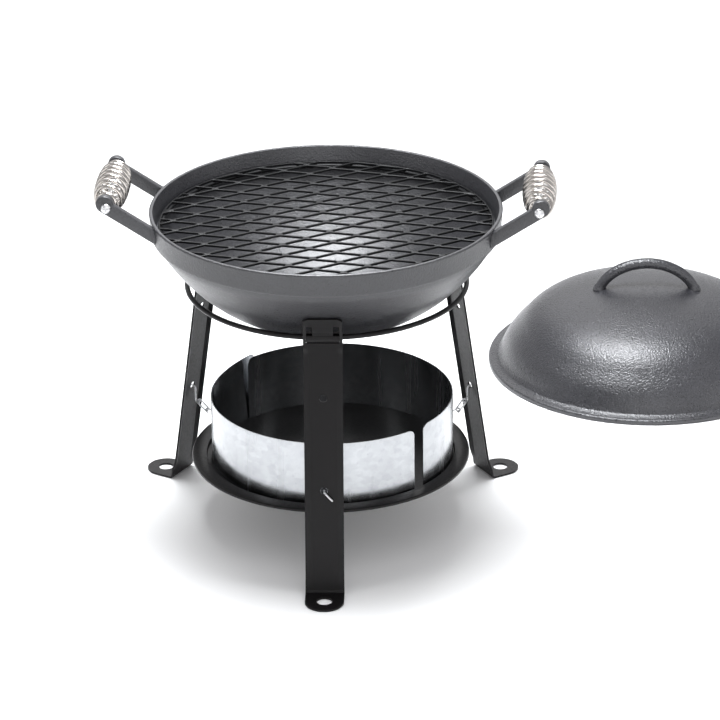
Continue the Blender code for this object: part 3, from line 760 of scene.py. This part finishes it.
def make_grate():
    """Expanded-metal disc, its strands waving a little up and down, over a wire ring."""
    half_angle = math.atan2(DIAMOND_SHORT, DIAMOND_LONG)
    long_half = DIAMOND_LONG / 2 - STRAND_W / 2 / math.sin(half_angle)
    short_half = DIAMOND_SHORT / 2 - STRAND_W / 2 / math.cos(half_angle)
    cos_turn = math.cos(DIAMOND_TURN)
    sin_turn = math.sin(DIAMOND_TURN)
    curve = bpy.data.curves.new("grate_mesh_fine", "CURVE")
    curve.dimensions = "2D"
    curve.fill_mode = "BOTH"
    curve.extrude = MESH_THICK / 2 - MESH_BEVEL
    curve.bevel_depth = MESH_BEVEL
    curve.bevel_resolution = 2
    curve.offset = -MESH_BEVEL
    outlines = [[(x, y) for x, y, z in circle_path(MESH_R, 0, 160)]]
    for row in range(-14, 15):
        for column in range(-8, 9):
            x = (column + (row % 2) / 2 + 0.5) * DIAMOND_LONG
            y = row * DIAMOND_SHORT / 2
            turned = [(a * cos_turn - b * sin_turn, a * sin_turn + b * cos_turn)
                      for a, b in diamond(x, y, long_half, short_half)]
            opening = clipped(turned, MESH_R - EDGE_STRIP)
            if opening and polygon_area(opening) > SMALLEST_OPENING:
                outlines.append(opening)
    for outline in outlines:
        spline = curve.splines.new("POLY")
        spline.points.add(len(outline) - 1)
        for point, (x, y) in zip(spline.points, outline):
            point.co = (x, y, 0, 1)
        spline.use_cyclic_u = True
    grate = bpy.data.objects.new("grate_mesh_fine", curve)
    bpy.context.scene.collection.objects.link(grate)
    bpy.context.view_layer.update()
    graph = bpy.context.evaluated_depsgraph_get()
    mesh = bpy.data.meshes.new_from_object(grate.evaluated_get(graph))
    bpy.data.objects.remove(grate, do_unlink=True)
    shell = bmesh.new()
    shell.from_mesh(mesh)
    bmesh.ops.remove_doubles(shell, verts=shell.verts, dist=0.000005)
    for vert in shell.verts:
        x, y, z = vert.co
        down = -x * sin_turn + y * cos_turn
        edge = min(1.0, max(0.0, (MESH_R - math.hypot(x, y)) / MESH_FLAT_EDGE))
        vert.co.z = z + MESH_WAVE * edge * math.sin(4 * math.pi * down / DIAMOND_SHORT)
    bmesh.ops.recalc_face_normals(shell, faces=shell.faces)
    shell.to_mesh(mesh)
    shell.free()
    piece = stand("grate_mesh_fine", mesh, GRILL + Vector((0, 0, MESH_Z)), BOWL_TURN)
    dress(piece, "grate", "grate_mesh", GRATE, 30)
    ring = tube("grate_frame_fine", circle_path(FRAME_R, 0, 180), FRAME_WIRE_R, 14, closed=True)
    dress(stand("grate_frame_fine", ring, GRILL + Vector((0, 0, FRAME_Z))), "grate", "grate_frame", GRATE,
          60)


# ---------------------------------------------------------------- stand

def leg_rows():
    """Mid-surface rows below the window, from the ring's centre: (x, z, fold, width share)."""
    ground = -RING_Z
    lean = math.atan(LEG_TILT)
    rows = []
    for z, fold in ((-0.0046, 0), (-0.0095, 0), (-0.0115, 0.35), (-0.0135, 0.75), (-0.0160, 1),
                    (-0.0180, 1), (-0.080, 1), (-0.150, 1), (ground + 0.030, 1), (ground + 0.022, 0.95),
                    (ground + 0.0165, 0.55), (ground + 0.0120, 0.1), (ground + 0.0095, 0)):
        rows.append((LEG_MID_X - LEG_TILT * z, z, fold, 1))
    corner_x = LEG_MID_X + LEG_TILT * (RING_Z - LEG_SHEET / 2)
    corner_z = ground + LEG_SHEET / 2
    run = LEG_BEND_R * math.tan((math.pi / 2 - lean) / 2)
    centre = (corner_x + run, corner_z + LEG_BEND_R)
    start = 180 + math.degrees(lean)
    for x, z in arc(centre, LEG_BEND_R, start, 270, 13):
        rows.append((x, z, 0, 1))
    for angle in range(0, 81, 8):
        reach = LEG_HALF * math.sin(math.radians(angle))
        rows.append((FOOT_TIP_X - LEG_HALF + reach, corner_z, 0, math.cos(math.radians(angle))))
    return rows


def leg_sheet_mesh():
    """Mid-surface of a leg: head plate, window with the knuckle rolled in it, channel and foot."""
    points = []
    faces = []
    columns = (-LEG_HALF, -EAR_LINE, -WINDOW_HALF, -WINDOW_LINE, -FLANGE_START, -NECK_HALF,
               NECK_HALF, FLANGE_START, WINDOW_LINE, WINDOW_HALF, EAR_LINE, LEG_HALF)
    lean = math.atan(LEG_TILT)
    middle = range(len(columns) - 1)
    ears = (0, 1, len(columns) - 3, len(columns) - 2)

    def add_row(x, z, fold=0, share=1, widths=columns):
        row = []
        for y in widths:
            over = max(0.0, abs(y) - FLANGE_START) * fold
            side = math.copysign(abs(y) - over * (1 - math.cos(FLANGE_BEND)), y) * share
            inward = over * math.sin(FLANGE_BEND)
            row.append(len(points))
            points.append((x - inward * math.cos(lean), side, z - inward * math.sin(lean)))
        return row

    def add_faces(near, far, strips):
        for k in strips:
            faces.append((near[k], near[k + 1], far[k + 1], far[k]))

    step = LEG_COLLAR / math.dist(LEG_CROWN, LEG_HEM)
    narrowing = (LEG_CROWN_HALF - NECK_HALF) / (LEG_HALF - NECK_HALF)
    crown_widths = [math.copysign(min(abs(y), NECK_HALF + (abs(y) - NECK_HALF) * narrowing), y)
                    for y in columns]
    crown = add_row(*LEG_CROWN, widths=crown_widths)
    collar = add_row(*(top + (foot - top) * step for top, foot in zip(LEG_CROWN, LEG_HEM)))
    hem = add_row(*LEG_HEM)
    add_faces(crown, collar, middle)
    add_faces(collar, hem, middle)
    previous = None
    for x, z, fold, share in leg_rows():
        row = add_row(x, z, fold, share)
        add_faces(previous or hem, row, middle if previous else ears)
        previous = row
    widths = (-KNUCKLE_HALF, -NECK_HALF, NECK_HALF, KNUCKLE_HALF)
    neck = [add_row(x, z, widths=(-NECK_HALF, NECK_HALF)) for x, z in NECK_ROWS]
    roll = [add_row(x, z, widths=widths) for x, z in arc((0, 0), KNUCKLE_R, *KNUCKLE_TURN, 38)]
    faces.append((hem[5], hem[6], neck[0][1], neck[0][0]))
    faces.append((neck[0][0], neck[0][1], neck[1][1], neck[1][0]))
    faces.append((neck[1][0], neck[1][1], roll[0][2], roll[0][1]))
    for near, far in zip(roll, roll[1:]):
        add_faces(near, far, range(3))
    return mesh_from("leg_sheet", points, faces)


def make_leg(label, azimuth):
    """One leg, modelled with the ring's wire at its origin, then moved out along its azimuth."""
    leg = stand(f"leg_{label}_fine", leg_sheet_mesh())
    thicken = leg.modifiers.new("sheet", "SOLIDIFY")
    thicken.thickness = LEG_SHEET
    thicken.offset = 0
    thicken.use_even_offset = True
    cutters = []
    depth = 0.01
    drop = depth * LEG_TILT
    for height in LEG_HOLES_Z:
        x = LEG_MID_X + LEG_TILT * (RING_Z - height)
        z = height - RING_Z
        cutters.append(rod("hole", LEG_HOLE_R, (x - depth, 0, z - drop), (x + depth, 0, z + drop)))
    x = FOOT_TIP_X - LEG_HALF
    cutters.append(rod("hole", FOOT_HOLE_R, (x, 0, -RING_Z - depth), (x, 0, -RING_Z + depth), 64))
    subtract(leg, cutters)
    soften(leg, LEG_EDGE_R, 2, 40)
    apply_all(leg, *cutters)
    angle = math.radians(azimuth)
    leg.location = GRILL + Vector((RING_R * math.cos(angle), RING_R * math.sin(angle), RING_Z))
    leg.rotation_euler = (0, 0, angle)
    dress(leg, f"leg_{label}", f"leg_{label}", BLACK, 15)


def make_hooks(label, azimuth):
    """The hook in the leg, the link and the hook in the tray."""
    angle = math.radians(azimuth)
    out = Vector((math.cos(angle), math.sin(angle), 0))
    z = LEG_HOLES_Z[0] - RING_Z
    x = LEG_MID_X + LEG_TILT * (RING_Z - LEG_HOLES_Z[0])
    tail = [(x + 0.0058, 0.0082, z - 0.0088), (x + 0.0052, 0.0050, z - 0.0056),
            (x + 0.0040, 0.0018, z - 0.0022), (x + 0.0018, 0, z - 0.0006),
            (x - 0.0016, 0, z - 0.0008)]
    inner = LEG_LOOP[0] + CHAIN_LOOP_R
    shank = [(inner + 0.0002, 0, z - 0.0030), (inner, 0, z - 0.0080)]
    turn = [(a, 0, b) for a, b in arc(LEG_LOOP, CHAIN_LOOP_R, 0, -200, 8)]
    path, radii = rounded_ends(curve_through(tail + shank + turn), CHAIN_WIRE_R)
    at = GRILL + Vector((RING_R * out.x, RING_R * out.y, RING_Z))
    hook = stand(f"leg_hook_{label}_fine", tube("leg_hook", path, radii, 12), at, azimuth)
    dress(hook, f"leg_{label}", f"leg_hook_{label}", CHAIN, 60)

    hole = TRAY_HOLE_R
    under = [(hole + 0.0046, 0, 0.0683), (hole + 0.0028, 0, 0.0677), (hole + 0.0008, 0, 0.0688),
             (hole, 0, 0.0712), (hole, 0, 0.0742), (hole + 0.0022, 0, 0.0778),
             (hole + 0.0066, 0, 0.0818)]
    turn = [(a, 0, b) for a, b in arc(TRAY_LOOP, CHAIN_LOOP_R, 125, -70, 8)]
    path, radii = rounded_ends(curve_through(under + turn), CHAIN_WIRE_R)
    at = GRILL + Vector((TRAY_X, 0, 0))
    hook = stand(f"tray_hook_{label}_fine", tube("tray_hook", path, radii, 12), at, azimuth)
    dress(hook, "ash_tray", f"tray_hook_{label}", CHAIN, 60)

    upper = out * (LEG_LOOP[0] + RING_R) + Vector((0, 0, LEG_LOOP[1] + RING_Z))
    lower = out * TRAY_LOOP[0] + Vector((TRAY_X, 0, TRAY_LOOP[1]))
    along = (upper - lower).normalized()
    across = Vector((0, 0, 1)).cross(along).normalized()
    half = LINK_LENGTH / 2 - LINK_HALF_W
    ends = arc((half, 0), LINK_HALF_W, -90, 90, 14) + arc((-half, 0), LINK_HALF_W, 90, 270, 14)
    oval = tube("link", [(a, b, 0) for a, b in ends], CHAIN_WIRE_R, 12, closed=True)
    link = stand(f"chain_link_{label}_fine", oval)
    link.location = GRILL + (upper + lower) / 2
    link.rotation_euler = Matrix((along, across, along.cross(across))).transposed().to_euler()
    dress(link, "ash_tray", f"chain_link_{label}", CHAIN, 60)


def make_stand():
    ring = tube("stand_ring_fine", circle_path(RING_R, 0, 180), RING_WIRE_R, 16, closed=True)
    dress(stand("stand_ring_fine", ring, GRILL + Vector((0, 0, RING_Z))), "stand_ring", "stand_ring", BLACK,
          60)
    for label, azimuth in LEG_AZIMUTHS.items():
        make_leg(label, azimuth)
        make_hooks(label, azimuth)


# ---------------------------------------------------------------- tray and wind guard

def make_tray():
    """A pressed disc: flat floor, raised flange with a rolled-down lip, and three hook holes."""
    edge = TRAY_R
    sheet = TRAY_SHEET
    drop = TRAY_RIM_Z - TRAY_LIP_DROP
    low = TRAY_FLOOR_Z - sheet
    flange = TRAY_RIM_Z - sheet
    profile = [(0, low), (RECESS_R + sheet - 0.0012, low), (RECESS_R + sheet - 0.0003, low + 0.0003),
               (RECESS_R + sheet, low + 0.0012), (RECESS_R + sheet, flange),
               (edge - sheet - 0.0003, flange), (edge - sheet, flange - 0.0003), (edge - sheet, drop),
               (edge, drop)]
    profile += arc((edge - TRAY_LIP_CURL, TRAY_RIM_Z - TRAY_LIP_CURL), TRAY_LIP_CURL, 0, 90, 6)
    profile += [(RECESS_R + 0.0010, TRAY_RIM_Z), (RECESS_R + 0.0003, TRAY_RIM_Z - 0.0003),
                (RECESS_R, TRAY_RIM_Z - 0.0010), (RECESS_R, TRAY_FLOOR_Z + 0.0008),
                (RECESS_R - 0.0002, TRAY_FLOOR_Z + 0.0002), (RECESS_R - 0.0008, TRAY_FLOOR_Z),
                (0, TRAY_FLOOR_Z)]
    tray = stand("ash_tray_fine", lathe("ash_tray", profile, 190))
    cutters = []
    for azimuth in LEG_AZIMUTHS.values():
        x = TRAY_HOLE_R * math.cos(math.radians(azimuth))
        y = TRAY_HOLE_R * math.sin(math.radians(azimuth))
        cutters.append(rod("hole", TRAY_HOLE_SIZE_R, (x, y, 0.05), (x, y, 0.10), 40))
    subtract(tray, cutters)
    apply_all(tray, *cutters)
    tray.location = GRILL + Vector((TRAY_X, 0, 0))
    dress(tray, "ash_tray", "ash_tray", BLACK, 30)


def guard_mesh(name, radius, span, flare):
    """A curved sheet with rounded upper corners; its starting end leans out by the flare at the top."""
    start, end = span
    corner = math.degrees(GUARD_CORNER / radius)
    fillet = [(corner * (1 - math.cos(math.radians(a))), GUARD_CORNER * (1 - math.sin(math.radians(a))))
              for a in range(0, 91, 10)]
    middle = 110
    columns = [(start + turn, GUARD_TOP - drop) for turn, drop in fillet]
    run = end - start - 2 * corner
    columns += [(start + corner + run * k / middle, GUARD_TOP) for k in range(1, middle)]
    columns += [(end - turn, GUARD_TOP - drop) for turn, drop in reversed(fillet)]
    points = []
    for azimuth, top in columns:
        angle = math.radians(azimuth)
        lean = flare * max(0.0, 1 - (azimuth - start) / FLARE_SPAN) ** 2
        for r, z in ((radius, GUARD_BOTTOM), (radius + lean, top),
                     (radius + lean - GUARD_SHEET, top), (radius - GUARD_SHEET, GUARD_BOTTOM)):
            points.append((r * math.cos(angle), r * math.sin(angle), z))
    faces = [(0, 1, 2, 3), tuple(range(len(points) - 4, len(points)))]
    for k in range(len(columns) - 1):
        for s in range(4):
            n = (s + 1) % 4
            faces.append((4 * k + s, 4 * k + n, 4 * k + 4 + n, 4 * k + 4 + s))
    return mesh_from(name, points, faces)


def make_guard():
    radii = {"wind_guard_front": GUARD_R, "wind_guard_rear": GUARD_R - GUARD_SHEET - GUARD_GAP}
    for name, radius in radii.items():
        flare = FRONT_FLARE if name == "wind_guard_front" else 0.0
        shell = guard_mesh(name, radius, GUARD_ARCS[name], flare)
        piece = stand(name + "_fine", shell, GRILL + Vector((GUARD_X, 0, 0)))
        soften(piece, GUARD_EDGE_R, 1, 50)
        apply_all(piece)
        dress(piece, name, name, ZINC, 25)


# ---------------------------------------------------------------- lid

def dome_curve(count):
    """Smooth (radius, height) points through the dome's stations."""
    stations = [(r, 0, z) for r, z in DOME] + [(BRIM_INNER[0], 0, BRIM_INNER[1])]
    stations = [(-stations[1][0], 0, stations[1][2])] + stations
    smooth = curve_through(stations, count)[count:]
    return [(max(0.0, p.x), p.z) for p in smooth]


def make_lid():
    """A hollow dome with a flat brim, and a bar handle arching over its crown."""
    dome = dome_curve(7)
    outer = dome[:-1] + [(BRIM_INNER[0] + 0.0004, BRIM_INNER[1] - 0.0002), (LID_R - 0.0024, 0.0056),
                         (LID_R - 0.0012, 0.0053), (LID_R - 0.0003, 0.0045), (LID_R, 0.0035),
                         (LID_R, 0.0008), (LID_R - 0.0004, 0.0002), (LID_R - 0.0010, 0)]
    inner = [(BRIM_INNER[0] - 0.0040, 0), (BRIM_INNER[0] - 0.0050, 0.0040)]
    for k in range(len(dome) - 6, 0, -2):
        run = Vector(dome[k + 1]) - Vector(dome[k - 1])
        normal = Vector((run.y, -run.x)).normalized()
        inner.append(tuple(Vector(dome[k]) + normal * LID_WALL))
    inner = [point for point in inner if point[0] > 0.001]
    inner.append((0, DOME[0][1] - LID_WALL))
    lid = stand("lid_dome", lathe("lid_dome", outer + inner, 192), LID)
    dress(lid, "lid", "lid", LID_IRON, 40)
    rise = HANDLE_TOP_Z - HANDLE_BAR_R - HANDLE_FOOT_Z
    path = []
    radii = []
    count = 48
    for k in range(count + 1):
        angle = math.pi * k / count
        lift = math.sin(angle) ** HANDLE_ARCH if 0 < k < count else 0.0
        height = HANDLE_FOOT_Z + rise * lift
        path.append((-HANDLE_HALF_SPAN * math.cos(angle), 0, height))
        flare = math.exp(-((height - HANDLE_FLARE_Z) / HANDLE_FLARE_H) ** 2)
        radii.append(HANDLE_BAR_R * (1 + HANDLE_FLARE * flare))
    handle = stand("lid_handle", tube("lid_handle", path, radii, 32), LID)
    dress(handle, "lid", None, LID_IRON, 60)


make_bowl()
make_arms()
make_bolts()
make_grips()
make_grate()
make_stand()
make_tray()
make_guard()
make_lid()


# ---------------------------------------------------------------- studio

def add_floor():
    half = FLOOR_HALF
    corners = [(-half, -half, 0), (half, -half, 0), (half, half, 0), (-half, half, 0)]
    mesh = mesh_from("floor", corners, [(0, 1, 2, 3)])
    floor = stand("floor", mesh, (0, 0, -FLOOR_DROP))
    mesh.materials.append(floor_material())


def add_light(name, at, target, size, power, colour=(1, 1, 1)):
    """A rectangular softbox aimed at a target."""
    data = bpy.data.lights.new(name, "AREA")
    data.shape = "RECTANGLE"
    data.size, data.size_y = size
    data.energy = power
    data.color = colour
    light = bpy.data.objects.new(name, data)
    bpy.context.scene.collection.objects.link(light)
    light.location = at
    light.rotation_euler = (Vector(target) - Vector(at)).to_track_quat("-Z", "Y").to_euler()


def add_world():
    """A grey surround that changes with height only."""
    world = bpy.data.worlds.new("studio")
    bpy.context.scene.world = world
    world.use_nodes = True
    nodes = world.node_tree.nodes
    links = world.node_tree.links
    where = nodes.new("ShaderNodeTexCoord")
    split = nodes.new("ShaderNodeSeparateXYZ")
    ramp = nodes.new("ShaderNodeValToRGB")
    while len(ramp.color_ramp.elements) < len(WORLD_STOPS):
        ramp.color_ramp.elements.new(0.5)
    for element, (place, grey) in zip(ramp.color_ramp.elements, WORLD_STOPS):
        element.position = place
        element.color = (grey, grey, grey * 1.02, 1)
    shift = nodes.new("ShaderNodeMath")
    shift.operation = "MULTIPLY_ADD"
    shift.inputs[1].default_value = 0.5
    shift.inputs[2].default_value = 0.5
    links.new(where.outputs["Generated"], split.inputs[0])
    links.new(split.outputs["Z"], shift.inputs[0])
    links.new(shift.outputs[0], ramp.inputs["Fac"])
    links.new(ramp.outputs["Color"], nodes["Background"].inputs["Color"])
    nodes["Background"].inputs["Strength"].default_value = WORLD_STRENGTH


def add_camera():
    data = bpy.data.cameras.new("camera")
    data.lens = CAMERA_LENS
    data.shift_x = CAMERA_SHIFT
    data.clip_end = 60
    camera = bpy.data.objects.new("camera", data)
    bpy.context.scene.collection.objects.link(camera)
    camera.location = GRILL + Vector(CAMERA_AT)
    camera.rotation_euler = (math.radians(90 - CAMERA_DOWN), 0, 0)
    bpy.context.scene.camera = camera


add_floor()
add_world()
add_light("overhead", (-0.19, 0.03, 1.55), (-0.12, 0, 0.2), (0.72, 0.72), 50, (0.96, 0.98, 1.0))
add_light("front_fill", (0.3, -2.9, 1.1), (0, 0, 0.1), (2.4, 1.0), 14)
add_light("back_wall", (-0.1, 3.4, 2.1), (0, 0, 0.3), (3.2, 2.0), 26)
add_light("left_strip", (-2.3, -1.3, 1.1), (0, 0, 0.2), (0.6, 1.4), 6)
add_light("right_strip", (2.4, -1.0, 1.1), (0, 0, 0.2), (0.6, 1.4), 8)
add_camera()
bpy.context.scene.view_settings.view_transform = "Standard"

bpy.context.view_layer.update()
